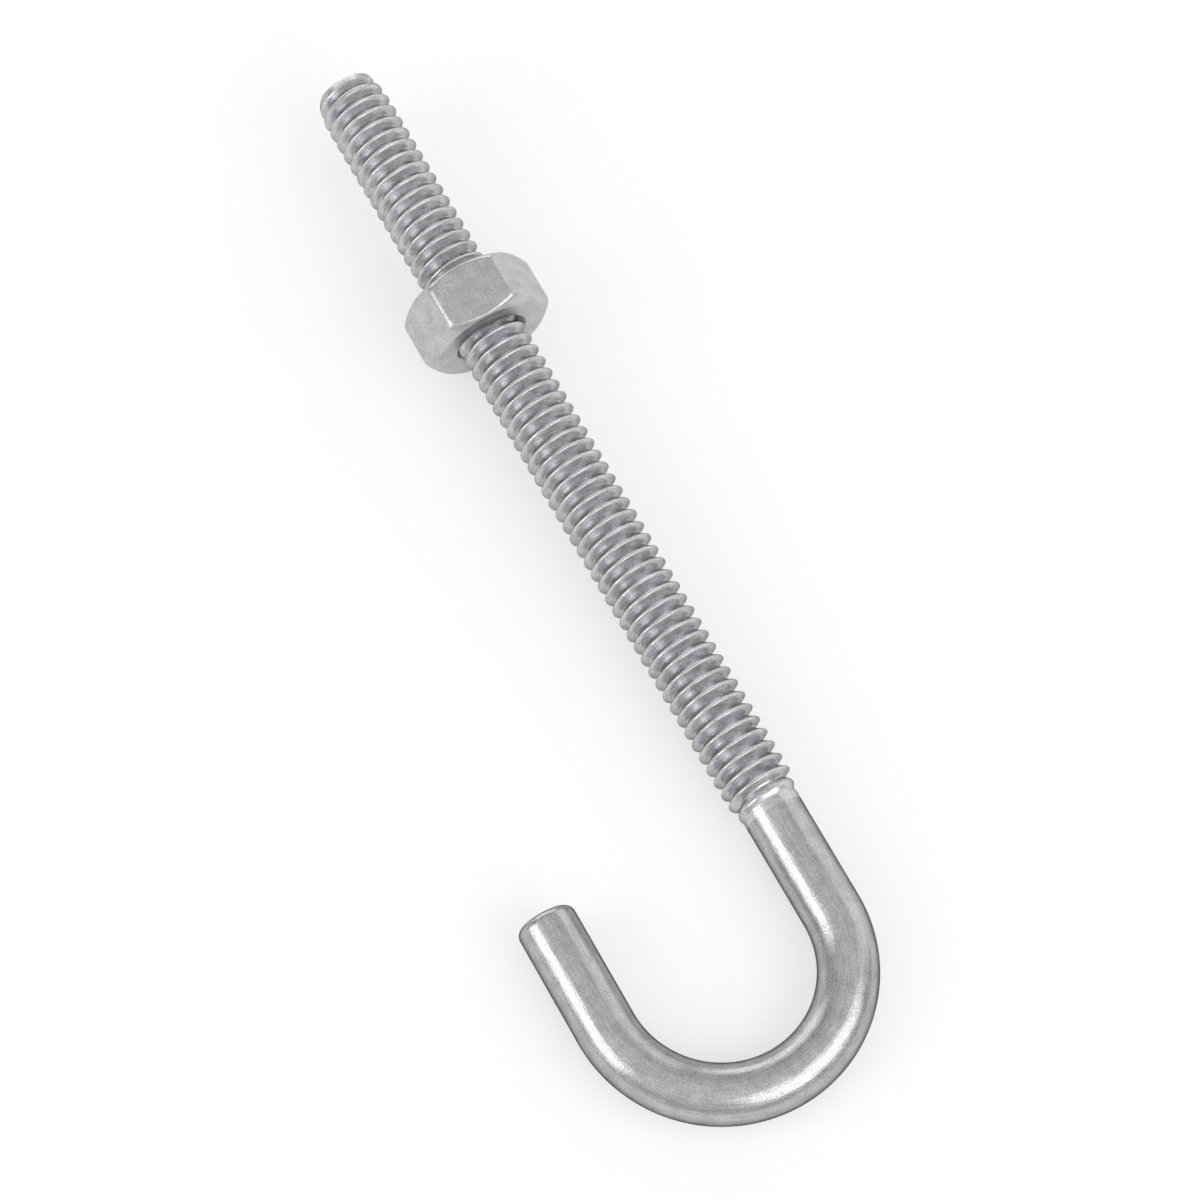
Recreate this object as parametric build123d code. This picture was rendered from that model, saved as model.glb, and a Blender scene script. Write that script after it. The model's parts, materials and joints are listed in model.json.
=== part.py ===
from build123d import *
import os
from math import acos, atan2, cos, degrees, hypot, radians, sin, tan

# A J bolt with its hex nut, lying down as it comes to rest. Millimetres, +Z up.
# Both pieces are drawn in the bolt's own frame: the shank runs along +Y from the centre of
# the thread's end face, and the hook turns over towards +X in the plane Z = 0.
# The last step lays them down.

# ---- driving dimensions: the bolt ----
THREAD_DIA = 6.32       # over the crests of the rolled thread, 1/4-20
BLANK_DIA = 5.31        # the rod before rolling: plain shank, bend and leg
SHANK_LEN = 87.65       # end face to the start of the bend
THREAD_LEN = 75.6       # end face to the last full thread
RUNOUT_LEN = 1.7        # the last thread fades down onto the blank
LEAD_LEN = 2.0          # the tapered lead that starts a nut
LEAD_DIA = 5.2          # the end face
BEND_RADIUS = 10.83     # to the middle of the rod
BEND_ANGLE = 180        # degrees
LEG_LEN = 10.9          # straight, from the end of the bend to the tip
LEG_EDGE = 0.8          # the rounded rim of the tip

# ---- driving dimensions: the nut ----
NUT_ACROSS_FLATS = 10.93
NUT_THICKNESS = 5.56
NUT_FACE_DIA = 10.4     # the round bearing face that both chamfers leave
NUT_CHAMFER = 30        # degrees between a chamfer and the bearing face
NUT_SINK_DIA = 6.9      # mouth of the countersink at each face
NUT_SINK = 45           # degrees between the countersink and the bearing face
NUT_PLACE = 24.98       # end face of the bolt to the middle of the nut
NUT_TURN = -6           # degrees that the nut's first corner is turned from +X towards +Z
THREAD_CLEARANCE = 0.05  # between the crests and the nut's bore, on the radius

# ---- worked out from these ----
THREAD_RADIUS = THREAD_DIA / 2
BLANK_RADIUS = BLANK_DIA / 2
BORE_RADIUS = THREAD_RADIUS + THREAD_CLEARANCE
NUT_CORNER_RADIUS = NUT_ACROSS_FLATS / 2 / cos(radians(30))
CHAMFER_AT_CORNER = (NUT_CORNER_RADIUS - NUT_FACE_DIA / 2) * tan(radians(NUT_CHAMFER))


def blank_path():
    """The middle line of the rod: straight shank, round bend, straight leg."""
    shank = Line((0, 0, 0), (0, SHANK_LEN, 0))
    bend = JernArc(shank @ 1, shank % 1, BEND_RADIUS, -BEND_ANGLE)
    leg = Line(bend @ 1, bend @ 1 + (bend % 1) * LEG_LEN)
    return Wire([*shank.edges(), *bend.edges(), *leg.edges()])


def bent_blank():
    """The plain rod along its path, with the rim of the tip rounded."""
    path = blank_path()
    section = Plane(origin=path @ 0, z_dir=path % 0) * Circle(BLANK_RADIUS)
    rod = sweep(section, path=path)
    tip_rim = rod.edges().filter_by(GeomType.CIRCLE).sort_by_distance(path @ 1)[0]
    return fillet(tip_rim, LEG_EDGE)


def thread_sleeve():
    """What rolling raises over the blank, as its outside shape: lead, thread and run-out."""
    profile = Polyline(
        (0, 0),
        (LEAD_DIA / 2, 0),
        (THREAD_RADIUS, LEAD_LEN),
        (THREAD_RADIUS, THREAD_LEN),
        (BLANK_RADIUS, THREAD_LEN + RUNOUT_LEN),
        (0, THREAD_LEN + RUNOUT_LEN),
        close=True,
    )
    return revolve(make_face(profile), axis=Axis.Y)


def lead_waste():
    """The ring outside the lead, which the blank alone would fill."""
    profile = Polyline(
        (LEAD_DIA / 2, 0),
        (THREAD_RADIUS, 0),
        (THREAD_RADIUS, LEAD_LEN),
        close=True,
    )
    return revolve(make_face(profile), axis=Axis.Y)


def make_bolt():
    """One rod: the bent blank with its rolled length."""
    return bent_blank() - lead_waste() + thread_sleeve()


def chamfer_envelope():
    """A turned barrel, cone over cylinder over cone, that takes the nut's corners off."""
    half = NUT_THICKNESS / 2
    profile = Polyline(
        (0, -half),
        (NUT_FACE_DIA / 2, -half),
        (NUT_CORNER_RADIUS, CHAMFER_AT_CORNER - half),
        (NUT_CORNER_RADIUS, half - CHAMFER_AT_CORNER),
        (NUT_FACE_DIA / 2, half),
        (0, half),
        close=True,
    )
    return revolve(make_face(profile), axis=Axis.Y)


def nut_bore():
    """The hole through the nut with a countersink at each face."""
    half = NUT_THICKNESS / 2
    sink_radius = NUT_SINK_DIA / 2
    sink_depth = (sink_radius - BORE_RADIUS) * tan(radians(NUT_SINK))
    profile = Polyline(
        (0, -half),
        (sink_radius, -half),
        (BORE_RADIUS, sink_depth - half),
        (BORE_RADIUS, half - sink_depth),
        (sink_radius, half),
        (0, half),
        close=True,
    )
    return revolve(make_face(profile), axis=Axis.Y)


def make_nut():
    """A chamfered hexagon on the shank's axis, turned and moved to its place on the thread."""
    hexagon = Plane.XZ * RegularPolygon(NUT_CORNER_RADIUS, 6)
    prism = extrude(hexagon, NUT_THICKNESS / 2, both=True)
    nut = prism & chamfer_envelope()
    nut = nut - nut_bore()
    return Pos(0, NUT_PLACE, 0) * Rot(Y=-NUT_TURN) * nut


def rest_dip():
    """The angle by which the shank dips towards the hook when nut and bend touch the floor.

    The nut touches with the end of its lowest corner, the bend with its outermost round.
    """
    corners = [radians(NUT_TURN + 60 * i) for i in range(6)]
    nut_reach = -NUT_CORNER_RADIUS * min(sin(c) for c in corners)
    nut_touches_at = NUT_PLACE + NUT_THICKNESS / 2 - CHAMFER_AT_CORNER
    apart = SHANK_LEN + BEND_RADIUS - nut_touches_at
    return degrees(acos(BLANK_RADIUS / hypot(nut_reach, apart)) - atan2(apart, nut_reach))


def lay_down(piece):
    """Turn a piece about the thread's end so that nut and bend reach equally low."""
    return Rot(X=-rest_dip()) * piece


NODES = {
    "j_bolt": lay_down(make_bolt()),
    "hex_nut": lay_down(make_nut()),
}

os.makedirs("parts", exist_ok=True)
for node, solid in NODES.items():
    solid.label = node
    export_step(solid, f"parts/{node}.step")
    box = solid.bounding_box()
    print(f"{node}: {solid.volume:.1f} mm3, lowest {box.min.Z:.3f} mm")
print(f"the shank dips {rest_dip():.3f} degrees towards the hook")
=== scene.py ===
# %% [markdown]
# # A zinc plated J bolt with its nut
# The real bolt starts as plain steel wire. Two dies roll a thread up out of one end, the other
# end is bent over a round former into a hook, and the whole rod is plated with bright zinc.
# The nut is forged, tapped and plated apart, and then it is spun on.
# The solid model that this lesson dresses has the true sizes, but its thread is a plain
# cylinder. So we make two new surfaces here, the rod and the nut, each with its real thread,
# and let them stand for the two solids.

import json
import math

import bmesh
import bpy
import numpy as np
from mathutils import Matrix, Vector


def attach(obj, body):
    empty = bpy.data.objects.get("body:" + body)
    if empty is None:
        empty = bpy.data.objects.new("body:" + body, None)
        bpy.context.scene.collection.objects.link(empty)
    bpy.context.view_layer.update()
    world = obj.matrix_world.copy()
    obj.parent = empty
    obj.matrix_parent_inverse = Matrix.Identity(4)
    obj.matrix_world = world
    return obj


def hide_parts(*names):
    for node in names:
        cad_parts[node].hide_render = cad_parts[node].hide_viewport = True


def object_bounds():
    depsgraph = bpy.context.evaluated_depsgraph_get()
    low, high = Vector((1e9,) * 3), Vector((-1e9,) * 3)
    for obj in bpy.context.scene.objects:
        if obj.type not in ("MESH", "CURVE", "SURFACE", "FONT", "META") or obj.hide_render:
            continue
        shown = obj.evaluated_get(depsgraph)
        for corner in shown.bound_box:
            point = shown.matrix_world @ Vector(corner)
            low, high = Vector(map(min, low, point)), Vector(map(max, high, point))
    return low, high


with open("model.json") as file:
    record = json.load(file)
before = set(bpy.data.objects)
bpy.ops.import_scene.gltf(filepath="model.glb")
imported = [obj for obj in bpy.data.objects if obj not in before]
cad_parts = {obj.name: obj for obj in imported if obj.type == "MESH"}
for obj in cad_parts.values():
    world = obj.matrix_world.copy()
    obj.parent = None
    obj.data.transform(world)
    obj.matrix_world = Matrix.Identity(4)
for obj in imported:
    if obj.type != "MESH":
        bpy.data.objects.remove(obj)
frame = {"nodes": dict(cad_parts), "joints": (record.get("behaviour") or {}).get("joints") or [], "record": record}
solid_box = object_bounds()
print("solid model from", [round(v, 4) for v in solid_box[0]], "to", [round(v, 4) for v in solid_box[1]])

# %% [markdown]
# ## Where the bolt lies
# The bolt rests on its nut and on the round of its hook, so the shank dips a little. It is
# easier to draw the bolt straight and lay it down at the end: x goes towards the hook's leg,
# y along the shank from the thread's end, and z out of the plane of the hook. The way the
# nut travels gives us y, and the three directions together turn a drawing into its place.

# %% Directions of the bolt as it lies
MM = 0.001
ACROSS = np.array([1.0, 0.0, 0.0])
ALONG = np.array(frame["joints"][0]["axis"])
UPRIGHT = np.cross(ACROSS, ALONG)


def lay_down(points):
    """Turn points drawn in the bolt's own frame into the frame of the solid model.

    Each point is x times across, plus y times along, plus z times upright.
    """
    return points @ np.stack([ACROSS, ALONG, UPRIGHT])


def draw_upright(points):
    """The way back: points of the solid model in the bolt's own frame."""
    return points @ np.stack([ACROSS, ALONG, UPRIGHT]).T


dip = math.degrees(math.asin(-ALONG[2]))
print(f"the shank dips {dip:.2f} degrees towards the hook")

# %% [markdown]
# ## Sizes
# Nothing is measured twice. The record names the radius of the thread, the blank and the
# hook, and the corners of the nut's own solid give its thickness, the width over its
# corners, the round bearing face and the mouth of its countersink. Only what the plain
# solids leave out is written here: the form of the thread, 20 turns to the inch.

# %% Sizes of the rod
mounts = {mount["name"]: mount for mount in frame["record"]["mounts"]}
leg, seat = mounts["hook_leg"], mounts["hook_seat"]

crest_radius = mounts["thread_end"]["dims"]["r_mm"] * MM
thread_length = mounts["thread_end"]["dims"]["length_mm"] * MM
blank_radius = leg["dims"]["r_mm"] * MM
seat_radius = seat["dims"]["r_mm"] * MM
bend_radius = seat_radius + blank_radius
shank_length = np.dot(seat["pos_m"], ALONG) - seat_radius
leg_length = 2 * (shank_length - np.dot(leg["pos_m"], ALONG))
bend_length = math.pi * bend_radius
rod_length = shank_length + bend_length + leg_length
print(f"wire {2 * blank_radius / MM:.2f} mm thick and {rod_length / MM:.1f} mm long before bending")

# %% Sizes of the nut


def node_points(name):
    """The corners of a solid's mesh, in the bolt's own frame."""
    mesh = frame["nodes"][name].data
    flat = np.zeros(3 * len(mesh.vertices))
    mesh.vertices.foreach_get("co", flat)
    return draw_upright(flat.reshape(-1, 3))


nut_points = node_points("hex_nut")
nut_radii = np.hypot(nut_points[:, 0], nut_points[:, 2])
nut_places = nut_points[:, 1]
nut_middle = (nut_places.min() + nut_places.max()) / 2
nut_half = (nut_places.max() - nut_places.min()) / 2
corner_radius = nut_radii.max()
flat_radius = corner_radius * math.cos(math.pi / 6)
on_face = nut_places > nut_places.max() - 0.001 * MM
face_radius = nut_radii[on_face].max()
mouth_radius = nut_radii[on_face].min()
at_corner = nut_radii > corner_radius - 0.001 * MM
corner_angles = np.arctan2(nut_points[at_corner, 2], nut_points[at_corner, 0])
nut_turn = np.angle(np.exp(6j * corner_angles).mean()) / 6
print(f"nut {2 * flat_radius / MM:.2f} mm across flats, {2 * nut_half / MM:.2f} mm thick,"
      f" first corner at {math.degrees(nut_turn):.1f} degrees")

# %% [markdown]
# ## The thread as a formula
# A thread is a groove that winds round the rod. Unroll the rod into a flat strip and every
# crest is a slanting line: going once round moves it one pitch along. So the distance from
# a spot to the nearest crest needs only its place along the rod and its angle round it, and
# the radius falls away from the crest along flanks that lean 30 degrees. Rolling leaves no
# sharp edge, so crest and root are blended with a soft minimum and a soft maximum, which
# follow the smaller or the larger of two values and round off the place where they cross.

# %% Form of the thread
pitch = 25.4 * MM / 20
crest_start = 0.733 * MM        # the first crest line crosses the hook's side of the rod here
crest_flat = 0.24 * MM
root_radius = 2.36 * MM
crest_softness = 0.16 * MM
crest_lean = 0.16 * MM          # the crest is rounder on the side of the free end
root_softness = 0.18 * MM
FLANK_SLOPE = 1 / math.tan(math.radians(30))


def soft_min(a, b, softness):
    """The smaller of a and b, with their crossing rounded off: the mean minus half the root
    of the difference squared plus the softness squared."""
    return (a + b - np.sqrt((a - b) ** 2 + softness ** 2)) / 2


def soft_max(a, b, softness):
    """The larger of a and b, rounded off in the same way."""
    return -soft_min(-a, -b, softness)


def past_crest(place, angle):
    """How far a spot lies past the nearest crest line, towards the hook, in pitches.

    Place over pitch plus angle over a full turn counts the crest lines that were passed, and
    what is left after rounding is the distance. The thread is right-handed.
    """
    turns = (place - crest_start) / pitch + angle / (2 * np.pi)
    return turns - np.round(turns)


def thread_radius(place, angle):
    """Radius of a full thread: crest radius, less the distance past the crest's flat times
    the flank's slope, never under the root radius, both ends rounded off.

    The crest's softness is its mean less its lean times the sine of the turns past the crest.
    """
    past = past_crest(place, angle)
    softness = np.maximum(crest_softness - crest_lean * np.sin(2 * np.pi * past), 0.02 * MM)
    flank = crest_radius - (np.abs(past) * pitch - crest_flat / 2) * FLANK_SLOPE
    return soft_min(crest_radius, soft_max(root_radius, flank, root_softness), softness)


spots = np.linspace(0, pitch, 200)
form = thread_radius(spots, 0 * spots)
print(f"thread depth {(form.max() - form.min()) / MM:.2f} mm at a pitch of {pitch / MM:.2f} mm")

# %% [markdown]
# ## Both ends of the thread
# At the free end the rod is pointed a little so that a nut finds its way on: the crests grow
# up to full height over the first two turns. At the other end the dies run out, and over
# the last turn and a half the grooves fill up and the crests sink until only plain wire is left.

# %% Radius of the whole rod
lead_radius = 2.6 * MM
lead_length = 2.4 * MM
lead_power = 1.4                # how steeply the point rounds over into the full thread
runout_length = 2.0 * MM
tip_edge = 0.8 * MM             # rounding of the rim at the leg's tip


def rod_radius(place, angle):
    """Radius of the rod before bending, from the place along it and the angle round it.

    The thread's height over the blank is scaled by how much thread is left, one along the
    thread and zero past its run-out. A rising curve from the end face caps it at the lead.
    """
    left = np.interp(place, thread_length + runout_length * np.array([0, 0.35, 0.65, 1]),
                     [1, 0.42, 0.33, 0])
    radius = blank_radius + (thread_radius(place, angle) - blank_radius) * left
    missing = np.clip(1 - place / lead_length, 0, 1)
    lead = lead_radius + (crest_radius - lead_radius) * (1 - missing ** lead_power)
    radius = np.where(place < 1.2 * lead_length, soft_min(radius, lead, 0.06 * MM), radius)
    return radius


print(f"end face {2 * rod_radius(0, 0) / MM:.2f} mm across")

# %% [markdown]
# ## Rows that follow the crests
# A grid of rings would cut across the slanting crests and turn them into a staircase. If each
# row slides back by one pitch while it goes round, it runs along the thread instead, and the
# end of one row meets the start of a row one turn earlier. So few points per turn are
# enough, with more of them at the crest and the root, where the form curves. Rows that
# would run past an end are held back at it, and the points that fall together are welded.

# %% Places of the rows
COLUMNS = 64
knots = np.array([-0.53, -0.46, -0.33, -0.21, -0.14, -0.095, -0.05, 0,
                  0.05, 0.095, 0.14, 0.21, 0.33, 0.46, 0.53, 0.635]) * MM


def helical_places(start, end, angles):
    """Places along the rod for rows that follow the thread between two ends.

    Row after row starts at a crest line plus a knot, and every row loses one pitch on its way
    round. Both ends stop the rows.
    """
    first = math.floor((start - crest_start) / pitch) - 1
    last = math.ceil((end - crest_start) / pitch) + 1
    starts = crest_start + pitch * np.arange(first, last + 1)[:, None] + knots
    places = starts.reshape(-1, 1) - pitch * angles / (2 * np.pi)
    return np.clip(places, start, end)


angles = np.linspace(0, 2 * np.pi, COLUMNS + 1)
thread_end = thread_length + runout_length + 0.4 * MM
threaded = helical_places(0, thread_end, angles)
print(f"{len(threaded)} rows follow the thread")

# %% [markdown]
# ## Bending the rod
# We draw the rod straight and bend it afterwards, as the maker does. Up to the end of the
# shank nothing moves. From there on the middle line runs round a half circle, and past it the leg
# goes straight back. The surface keeps its distance from the middle line all the way, so the
# same formula carries every point along, and the straight place is kept with each point
# as a record of where it was on the wire. The finish will use it to run its marks along the wire.

# %% The bend as a formula


def bend_over(straight):
    """Carry points of the straight rod round the hook.

    The turn so far is the length past the shank over the bend radius, from zero to half a
    turn. The middle line is at radius times one minus cosine across, and radius times sine
    along, less what lies past the bend. A point's own x is laid off towards the inside.
    """
    x, place, z = np.moveaxis(straight, -1, 0)
    turn = np.clip((place - shank_length) / bend_radius, 0, math.pi)
    past = np.maximum(place - shank_length - bend_length, 0)
    middle_x = bend_radius * (1 - np.cos(turn))
    middle_y = np.minimum(place, shank_length) + bend_radius * np.sin(turn) - past
    return np.stack([middle_x + x * np.cos(turn), middle_y - x * np.sin(turn), z], axis=-1)


print("tip of the leg at", np.round(bend_over(np.array([0, rod_length, 0])) / MM, 2), "mm")

# %% [markdown]
# ## From a grid to a piece
# A grid of points becomes a mesh when every four neighbours share a face. Welding closes
# the seam, the ends and the poles, and afterwards each edge must have exactly two faces,
# which we count, because a surface with a hole can't be made or printed.

# %% Grid to mesh


def surface_piece(name, straight, bend, marks):
    """Make a closed mesh object from a grid of points in the bolt's own frame.

    Each face joins a point to its neighbours in the next column and the next row. The straight
    places and any marks are stored on the points, then doubles are welded and the faces
    turned outwards.
    """
    rows, columns = straight.shape[:2]
    index = np.arange(rows * columns).reshape(rows, columns)
    faces = np.stack([index[:-1, :-1], index[:-1, 1:], index[1:, 1:], index[1:, :-1]], axis=-1)
    mesh = bpy.data.meshes.new(name)
    mesh.from_pydata(lay_down(bend(straight)).reshape(-1, 3), [], faces.reshape(-1, 4))
    wire_place = mesh.attributes.new("wire_place", "FLOAT_VECTOR", "POINT")
    wire_place.data.foreach_set("vector", straight.ravel())
    for mark, values in marks.items():
        attribute = mesh.attributes.new(mark, "FLOAT", "POINT")
        attribute.data.foreach_set("value", np.ascontiguousarray(values).ravel())
    work = bmesh.new()
    work.from_mesh(mesh)
    bmesh.ops.remove_doubles(work, verts=work.verts, dist=0.0001 * MM)
    bmesh.ops.recalc_face_normals(work, faces=work.faces)
    open_edges = sum(1 for edge in work.edges if len(edge.link_faces) != 2)
    triangles = sum(len(face.verts) - 2 for face in work.faces)
    volume = work.calc_volume(signed=True)
    work.to_mesh(mesh)
    work.free()
    mesh.shade_smooth()
    mesh.set_sharp_from_angle(angle=math.radians(42))
    piece = bpy.data.objects.new(name, mesh)
    bpy.context.scene.collection.objects.link(piece)
    print(f"{name}: {triangles} triangles, {open_edges} open edges, {volume / MM ** 3:.0f} mm3")
    return piece


# %% [markdown]
# ## The rod
# Four stretches make one grid: the end face with its shallow cup, which rolling leaves
# because it drags the skin of the wire out further than its core, the thread, the plain wire round
# the hook, and the leg's tip with its rounded rim.

# %% The rod's surface
cup_depth = 0.12 * MM
plain_step = 0.45 * MM


def ring_points(places, radii, angles):
    """Points at an angle round the straight rod: x and z are the radius times cosine and sine."""
    places, radii, angles = np.broadcast_arrays(places, radii, angles)
    return np.stack([radii * np.cos(angles), places, radii * np.sin(angles)], axis=-1)


inward = np.linspace(0, 1, 9)[:, None]
end_cup = ring_points(cup_depth * (1 - inward ** 2) ** 2, inward * rod_radius(0, angles), angles)

thread_rows = ring_points(threaded, rod_radius(threaded, angles), angles)

plain_stop = rod_length - tip_edge
plain_places = np.linspace(thread_end, plain_stop, round((plain_stop - thread_end) / plain_step))[:, None]
plain_rows = ring_points(plain_places, blank_radius, angles)

swing = np.linspace(0, math.pi / 2, 8)[:, None]
rim = ring_points(plain_stop + tip_edge * np.sin(swing),
                  blank_radius - tip_edge * (1 - np.cos(swing)), angles)
shrink = np.linspace(1, 0, 7)[:, None]
tip_face = ring_points(rod_length, shrink * (blank_radius - tip_edge), angles)

rod_grid = np.concatenate([end_cup, thread_rows, plain_rows, rim, tip_face])
heights = np.hypot(rod_grid[..., 0], rod_grid[..., 2])
crest_mark = np.clip((heights - blank_radius) / (crest_radius - blank_radius), 0, 1)
rod = surface_piece("threaded_rod", rod_grid, bend_over, {"worn": crest_mark})

# %% [markdown]
# ## The nut
# A hexagon nut is a six-sided bar whose corners were turned off by a wide cone at each face, so
# every flat ends in two arcs. Seen from the axis, everything about it is a radius: the
# six flats with their rounded corners, the cones, the round bearing faces and the bore. So
# for each angle we walk once round the section of the nut, and the rows of the bore
# slide along the thread as the rod's do, which makes the nut's thread fit the rod's.

# %% Outline of the nut
corner_round = 0.90 * MM
chamfer_slope = math.tan(math.radians(30))


def hexagon_radius(angle):
    """Distance from the axis to the hexagon with rounded corners.

    On a flat it is the flat's radius over the cosine of the angle from the flat's middle. On a
    corner it is the far crossing with a small circle that touches both flats.
    """
    from_corner = np.abs((angle - nut_turn + np.pi / 6) % (np.pi / 3) - np.pi / 6)
    on_flat = flat_radius / np.cos(np.pi / 6 - from_corner)
    circle_at = (flat_radius - corner_round) / math.cos(math.pi / 6)
    under_root = np.maximum(corner_round ** 2 - (circle_at * np.sin(from_corner)) ** 2, 0)
    on_corner = circle_at * np.cos(from_corner) + np.sqrt(under_root)
    touch = math.pi / 6 - math.atan((flat_radius - corner_round) * math.tan(math.pi / 6) / flat_radius)
    return np.where(from_corner < touch, on_corner, on_flat)


touch_angle = math.pi / 6 - math.atan((flat_radius - corner_round) * math.tan(math.pi / 6) / flat_radius)
sector = np.concatenate([np.linspace(-touch_angle, touch_angle, 9),
                         np.linspace(touch_angle, math.pi / 3 - touch_angle, 13)[1:-1]])
nut_angles = (nut_turn + np.arange(6)[:, None] * math.pi / 3 + sector).ravel()
nut_angles = np.append(nut_angles, nut_angles[0] + 2 * math.pi)
print(f"{len(nut_angles) - 1} columns round the nut")

# %% Section of the nut at every angle
face_round = 0.10 * MM
edge_round = 0.60 * MM
sink_slope = 1.0                # a countersink of 45 degrees
bore_gap = 0.06 * MM            # between the rod's thread and the nut's
minor_radius = 2.66 * MM


def rounded_turn(before, corner, after, reach, steps):
    """Round a corner of the section: a quadratic curve from a point one reach before the corner
    to a point one reach after it, pulled towards the corner. The reach is kept under
    half of both sides."""
    back, ahead = before - corner, after - corner
    back_length = np.linalg.norm(back, axis=-1, keepdims=True)
    ahead_length = np.linalg.norm(ahead, axis=-1, keepdims=True)
    reach = np.minimum(reach, 0.48 * np.minimum(back_length, ahead_length))
    start, end = corner + back / back_length * reach, corner + ahead / ahead_length * reach
    t = np.linspace(0, 1, steps)[:, None, None]
    return (1 - t) ** 2 * start + 2 * t * (1 - t) * corner + t ** 2 * end


def section_point(radius, height):
    """A corner of the section at every angle, as radius and height over the nut's middle."""
    return np.stack(np.broadcast_arrays(radius, height, nut_angles)[:2], axis=-1)


outline = hexagon_radius(nut_angles)
crease = nut_half - (outline - face_radius) * chamfer_slope
mouth = section_point(mouth_radius, nut_half)
face_edge = section_point(face_radius, nut_half)
arc_edge = section_point(outline, crease)
waist = section_point(outline, 0)

upper = np.concatenate([
    mouth[None],
    rounded_turn(mouth, face_edge, arc_edge, face_round, 4),
    rounded_turn(face_edge, arc_edge, waist, edge_round, 8),
])
side = np.linspace(0.8, -0.8, 7)[:, None] * upper[-1:, :, 1]
walls = np.stack([np.broadcast_to(outline, side.shape), side], axis=-1)
outside = np.concatenate([upper, walls, upper[::-1] * [1, -1]])
print(f"{len(outside)} rows round the outside of the nut")

# %% The nut's surface


def bore_radius(place, angle):
    """Radius of the tapped hole: the rod's thread and a gap, no smaller than the drilled
    hole, and opened by the countersink near both faces."""
    tapped = np.maximum(thread_radius(place, angle) + bore_gap, minor_radius)
    to_face = nut_half - np.abs(place - nut_middle)
    return soft_max(tapped, mouth_radius - to_face * sink_slope, 0.03 * MM)


turned = nut_angles - nut_angles[0]
bore_places = helical_places(nut_middle - nut_half, nut_middle + nut_half, nut_angles)
bore_rows = ring_points(bore_places, bore_radius(bore_places, nut_angles), nut_angles)
outer_rows = ring_points(nut_middle + outside[..., 1], outside[..., 0], nut_angles)
nut_grid = np.concatenate([bore_rows, outer_rows, bore_rows[:1]])
bend_free = lambda points: points
nut = surface_piece("zinc_nut", nut_grid, bend_free, {})

# %% Ride and replace
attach(rod, "bolt")
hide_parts("j_bolt")
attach(nut, "nut")
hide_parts("hex_nut")

# %% [markdown]
# ## Shader maths written as plain expressions
# A finish is a little machine of nodes, and a page of node calls is hard to read. One small
# class wraps a socket, so that adding or multiplying two of them adds the Math node for it.

# %% The Wire class


def find_socket(sockets, key):
    """A socket by its place, its identifier or its name."""
    if isinstance(key, int):
        return sockets[key]
    by_identifier = [socket for socket in sockets if socket.identifier == key]
    return by_identifier[0] if by_identifier else sockets[key]


class Wire:
    """A node tree's output that can be used like a number."""

    def __init__(self, tree, socket=None):
        self.tree = tree
        self.socket = socket

    def node(self, kind, settings, inputs, output=0):
        """Add a node: its settings first, then the values or wires of its sockets."""
        node = self.tree.nodes.new(kind)
        for setting, value in settings.items():
            if setting == "stops":
                ramp = node.color_ramp
                while len(ramp.elements) < len(value):
                    ramp.elements.new(0.5)
                for element, (position, level) in zip(ramp.elements, value):
                    element.position = position
                    element.color = (level, level, level, 1)
            else:
                setattr(node, setting, value)
        for key, value in inputs.items():
            socket = find_socket(node.inputs, key)
            if isinstance(value, Wire):
                self.tree.links.new(value.socket, socket)
            else:
                socket.default_value = value
        return Wire(self.tree, find_socket(node.outputs, output)) if node.outputs else node

    def maths(self, operation, *terms):
        return self.node("ShaderNodeMath", {"operation": operation}, dict(enumerate(terms)))

    def __add__(self, other):
        return self.maths("ADD", self, other)

    def __sub__(self, other):
        return self.maths("SUBTRACT", self, other)

    def __rsub__(self, other):
        return self.maths("SUBTRACT", other, self)

    def __mul__(self, other):
        return self.maths("MULTIPLY", self, other)

    __radd__ = __add__
    __rmul__ = __mul__

    def step(self, low, high):
        """Zero under low, one over high, and a smooth rise between them."""
        return self.node("ShaderNodeMapRange", {"interpolation_type": "SMOOTHSTEP"},
                         {"Value": self, "From Min": low, "From Max": high})

    def noise(self, place, scale, detail=2.0, rough=0.5):
        """Cloudy noise from zero to one. The scale is in features per metre."""
        return self.node("ShaderNodeTexNoise", {}, {
            "Vector": place, "Scale": scale, "Detail": detail, "Roughness": rough}, "Fac")

    def mix(self, dark, light):
        """A colour between two others, by this wire."""
        return self.node("ShaderNodeMix", {"data_type": "RGBA"}, {
            "Factor_Float": self, "A_Color": (*dark, 1), "B_Color": (*light, 1)}, "Result_Color")


def new_material(name):
    """An empty material and the first wire of its tree."""
    material = bpy.data.materials.new(name)
    material.use_nodes = True
    material.node_tree.nodes.clear()
    return material, Wire(material.node_tree)


# %% [markdown]
# ## Bright zinc
# Zinc plating is thin and follows every mark of the steel under it. It is a metal, so it has
# almost no colour of its own and shows what stands round it, blurred by a fine grain that is
# a tenth or two of a millimetre wide. Drawing the wire leaves faint lines along it, and
# handling leaves clouds where the zinc is a little duller. We build these from four noises,
# on the place that each point had on the straight wire, so that the lines follow the hook.
# The edge tint makes the metal darker where it is seen at a slant, as passivated zinc is.

# %% Zinc on the rod
ZINC_TINT = np.array([0.985, 1.0, 1.02])     # its grey leans a little towards blue


def wire_place(tree):
    return tree.node("ShaderNodeAttribute", {"attribute_name": "wire_place"}, {}, "Vector")


def stretched_noise(tree, place, scale, size):
    """Noise whose clouds are drawn out along the axes whose scale is small."""
    drawn_out = tree.node("ShaderNodeMapping", {}, {"Vector": place, "Scale": scale})
    return tree.noise(drawn_out, 1 / size, 2.0, 0.5)


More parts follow.
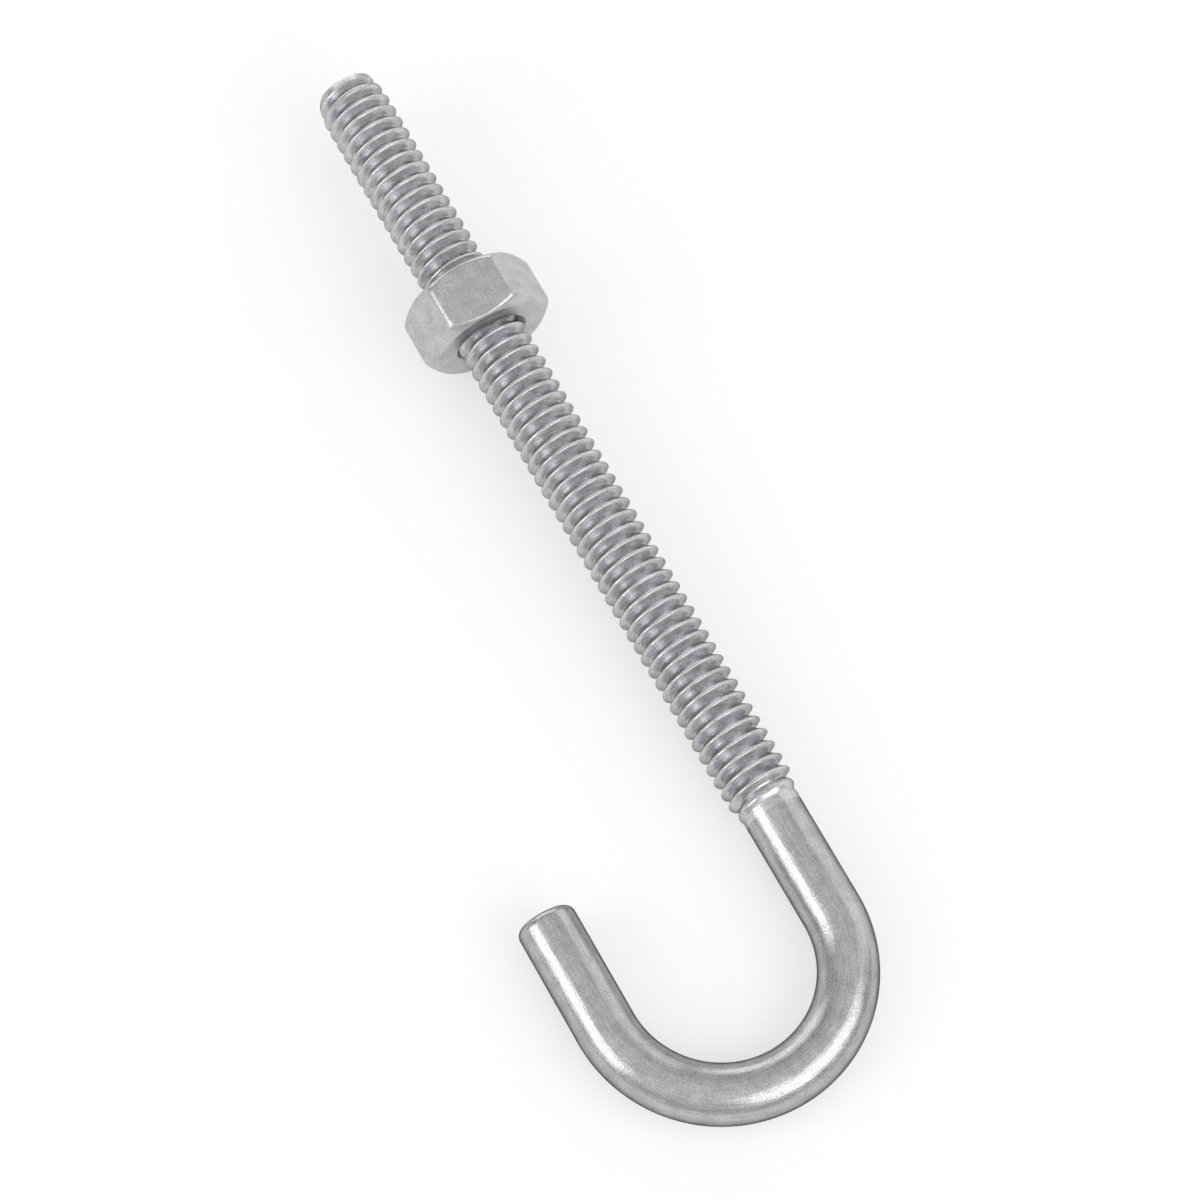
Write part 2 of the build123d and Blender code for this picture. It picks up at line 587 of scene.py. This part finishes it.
def zinc(name, dark, light, grain_size, roughness, edge, along=0.0, around=0.0):
    """Bright zinc: grain, clouds and specks, with fine lines along the wire or around it.

    They share one height, which gives the bump. The tone is the part of it that also changes the
    colour, and the roughness rises a little with the clouds. Edge is the brightness at a slant.
    """
    material, tree = new_material(name)
    place = wire_place(tree)
    grain = tree.noise(place, 1 / grain_size, 3.0, 0.65)
    clouds = tree.noise(place, 1 / (9 * grain_size), 2.0, 0.5)
    specks = tree.noise(place, 1 / (0.7 * grain_size), 1.0, 0.5).step(0.60, 0.70)
    lines = (stretched_noise(tree, place, (1, 0.05, 1), 0.12 * MM) * along
             + stretched_noise(tree, place, (0.08, 1, 0.08), 0.11 * MM) * around)
    middle = 0.45 + 0.25 * (along + around)
    tone = (grain * 0.6 + clouds * 0.3 + lines * 0.5).step(middle - 0.16, middle + 0.16)
    bump = tree.node("ShaderNodeBump", {}, {
        "Strength": 1.0, "Distance": 0.012 * MM,
        "Height": grain + clouds * 1.2 + lines * 1.2 - specks * 0.5})
    shader = tree.node("ShaderNodeBsdfPrincipled", {}, {
        "Base Color": (tone * (1 - 0.6 * specks)).mix(dark * ZINC_TINT, light * ZINC_TINT),
        "Metallic": 1.0,
        "Roughness": roughness + 0.10 * clouds - 0.05,
        "Specular Tint": (edge, edge, edge, 1),
        "Normal": bump})
    tree.node("ShaderNodeOutputMaterial", {}, {"Surface": shader})
    return material


rod.data.materials.append(zinc("bright_zinc_on_wire", 0.38, 0.58, 0.15 * MM, roughness=0.22, edge=0.12, along=0.8))
# painted light: the thread wears a lighter copy of the wire's zinc, which lifts the shade that falls in its
# grooves
rod.data.materials.append(zinc("zinc_on_thread_painted_lighter", 0.48, 0.70, 0.15 * MM, roughness=0.26, edge=0.40, along=0.4, around=1.0))

# the faces of the rolled length, from the place that their first corner had on the straight wire
rod_mesh = rod.data
straight_places = np.zeros(3 * len(rod_mesh.vertices))
rod_mesh.attributes["wire_place"].data.foreach_get("vector", straight_places)
first_corners = np.zeros(len(rod_mesh.polygons), dtype=np.int32)
rod_mesh.polygons.foreach_get("loop_start", first_corners)
corner_points = np.zeros(len(rod_mesh.loops), dtype=np.int32)
rod_mesh.loops.foreach_get("vertex_index", corner_points)
face_places = straight_places[1::3][corner_points[first_corners]]
rod_mesh.polygons.foreach_set("material_index", (face_places < thread_end).astype(np.int32))

# %% Zinc on the nut
nut.data.materials.append(zinc("bright_zinc_on_nut", 0.40, 0.64, 0.15 * MM, roughness=0.30, edge=0.9))

# %% [markdown]
# ## Floor, lamps and surroundings
# Metal looks like what it reflects, so the light matters as much as the finish. The bolt lies
# on a white table in a white room. Overhead, where we look from, the room is a little greyer, and
# soft boxes stand round the table: a strong one on the hook's side, one past the bend, and two
# weaker ones that fill the other sides.

# %% The floor
floor_colour = 0.95
floor_white = 0.50             # how much of the even white is seen, and the rest is lit and shaded
floor_reach = 3.0
floor_height = solid_box[0][2]
floor_corners = [(-floor_reach, -floor_reach), (floor_reach, -floor_reach),
                 (floor_reach, floor_reach), (-floor_reach, floor_reach)]
floor_mesh = bpy.data.meshes.new("table_top")
floor_mesh.from_pydata([(x, y, floor_height) for x, y in floor_corners], [], [(0, 1, 2, 3)])
table_top = bpy.data.objects.new("table_top", floor_mesh)
bpy.context.scene.collection.objects.link(table_top)
floor_paint, tree = new_material("white_table")
matt = tree.node("ShaderNodeBsdfDiffuse", {}, {"Color": (floor_colour,) * 3 + (1,)})
plain_white = tree.node("ShaderNodeEmission", {}, {"Color": (1, 1, 1, 1), "Strength": 1.0})
ray = tree.node("ShaderNodeLightPath", {}, {}, "Is Camera Ray")
glossy_ray = tree.node("ShaderNodeLightPath", {}, {}, "Is Glossy Ray")
clear_ray = tree.node("ShaderNodeLightPath", {}, {}, "Is Transmission Ray")
seen = ray + glossy_ray + clear_ray
table = tree.node("ShaderNodeMixShader", {}, {0: seen * floor_white, 1: matt, 2: plain_white})
tree.node("ShaderNodeOutputMaterial", {}, {"Surface": table})
floor_mesh.materials.append(floor_paint)

# %% The room


def direction(azimuth, elevation):
    """A direction in the bolt's own frame: azimuth from across towards along, elevation from the
    plane of the hook, both in degrees."""
    turn, rise = math.radians(azimuth), math.radians(elevation)
    return np.array([math.cos(turn) * math.cos(rise), math.sin(turn) * math.cos(rise), math.sin(rise)])


ceiling_level = 0.85
wall_level = 0.50
ceiling_middle = lay_down(direction(56.72, 68.56))
world = bpy.data.worlds.new("white_room")
bpy.context.scene.world = world
world.use_nodes = True
world.node_tree.nodes.clear()
room = Wire(world.node_tree)
outward = room.node("ShaderNodeTexCoord", {}, {}, "Generated")
upward = room.node("ShaderNodeVectorMath", {"operation": "DOT_PRODUCT"},
                   {0: outward, 1: tuple(ceiling_middle)}, "Value")
ceiling = upward.step(math.cos(math.radians(70)), math.cos(math.radians(30)))
backdrop = room.node("ShaderNodeBackground", {}, {
    "Color": (1, 1, 1, 1), "Strength": wall_level + ceiling * (ceiling_level - wall_level)})
room.node("ShaderNodeOutputWorld", {}, {"Surface": backdrop})

# %% The soft boxes
aim = np.array([3.56, 53.92, 0]) * MM      # the middle of the bolt, where the camera looks
lamp_distance = 0.6


def facing(spot, back, roll=0.0):
    """The place and turn of a lamp or camera at a spot, looking against its back direction.

    Its top leans towards upright, and the roll in degrees turns it about its back.
    """
    top = np.array([0, 0, 1]) - back * back[2]
    top /= np.linalg.norm(top)
    side = np.cross(top, back)
    angle = math.radians(roll)
    top, side = top * math.cos(angle) - side * math.sin(angle), side * math.cos(angle) + top * math.sin(angle)
    columns = lay_down(np.stack([side, top, back, spot]))
    matrix = Matrix.Identity(4)
    for column, values in enumerate(columns):
        matrix.col[column] = (*values, 1 if column == 3 else 0)
    return matrix


def soft_box(name, azimuth, elevation, width, height, level):
    """A lamp of even brightness. Width and height are the angles in degrees that it fills as
    seen from the bolt, and its power is level times pi times its area."""
    back = direction(azimuth, elevation)
    lamp = bpy.data.lights.new(name, "AREA")
    lamp.shape = "RECTANGLE"
    lamp.size = 2 * lamp_distance * math.tan(math.radians(width / 2))
    lamp.size_y = 2 * lamp_distance * math.tan(math.radians(height / 2))
    lamp.energy = level * math.pi * lamp.size * lamp.size_y
    holder = bpy.data.objects.new(name, lamp)
    holder.matrix_world = facing(aim + back * lamp_distance, back)
    holder.visible_camera = False
    bpy.context.scene.collection.objects.link(holder)
    return holder


soft_box("key_box", -8, 30, 36, 32, 2.2)
soft_box("bend_box", 118, 42, 56, 34, 1.7)
soft_box("fill_box", 195, 22, 50, 46, 0.6)
soft_box("end_box", 262, 12, 60, 30, 1.2)

# %% [markdown]
# ## The camera
# It looks down on the bolt from beyond the hook, through a long lens from some 40 cm away.

# %% Camera
camera_distance = 392.7 * MM
camera_back = direction(56.72, 68.56)
lens = bpy.data.cameras.new("camera")
lens.sensor_width = 36
lens.lens = 136.64
camera = bpy.data.objects.new("camera", lens)
camera.matrix_world = facing(aim + camera_back * camera_distance, camera_back, roll=4.63)
bpy.context.scene.collection.objects.link(camera)
bpy.context.scene.camera = camera
bpy.context.scene.view_settings.view_transform = "Standard"
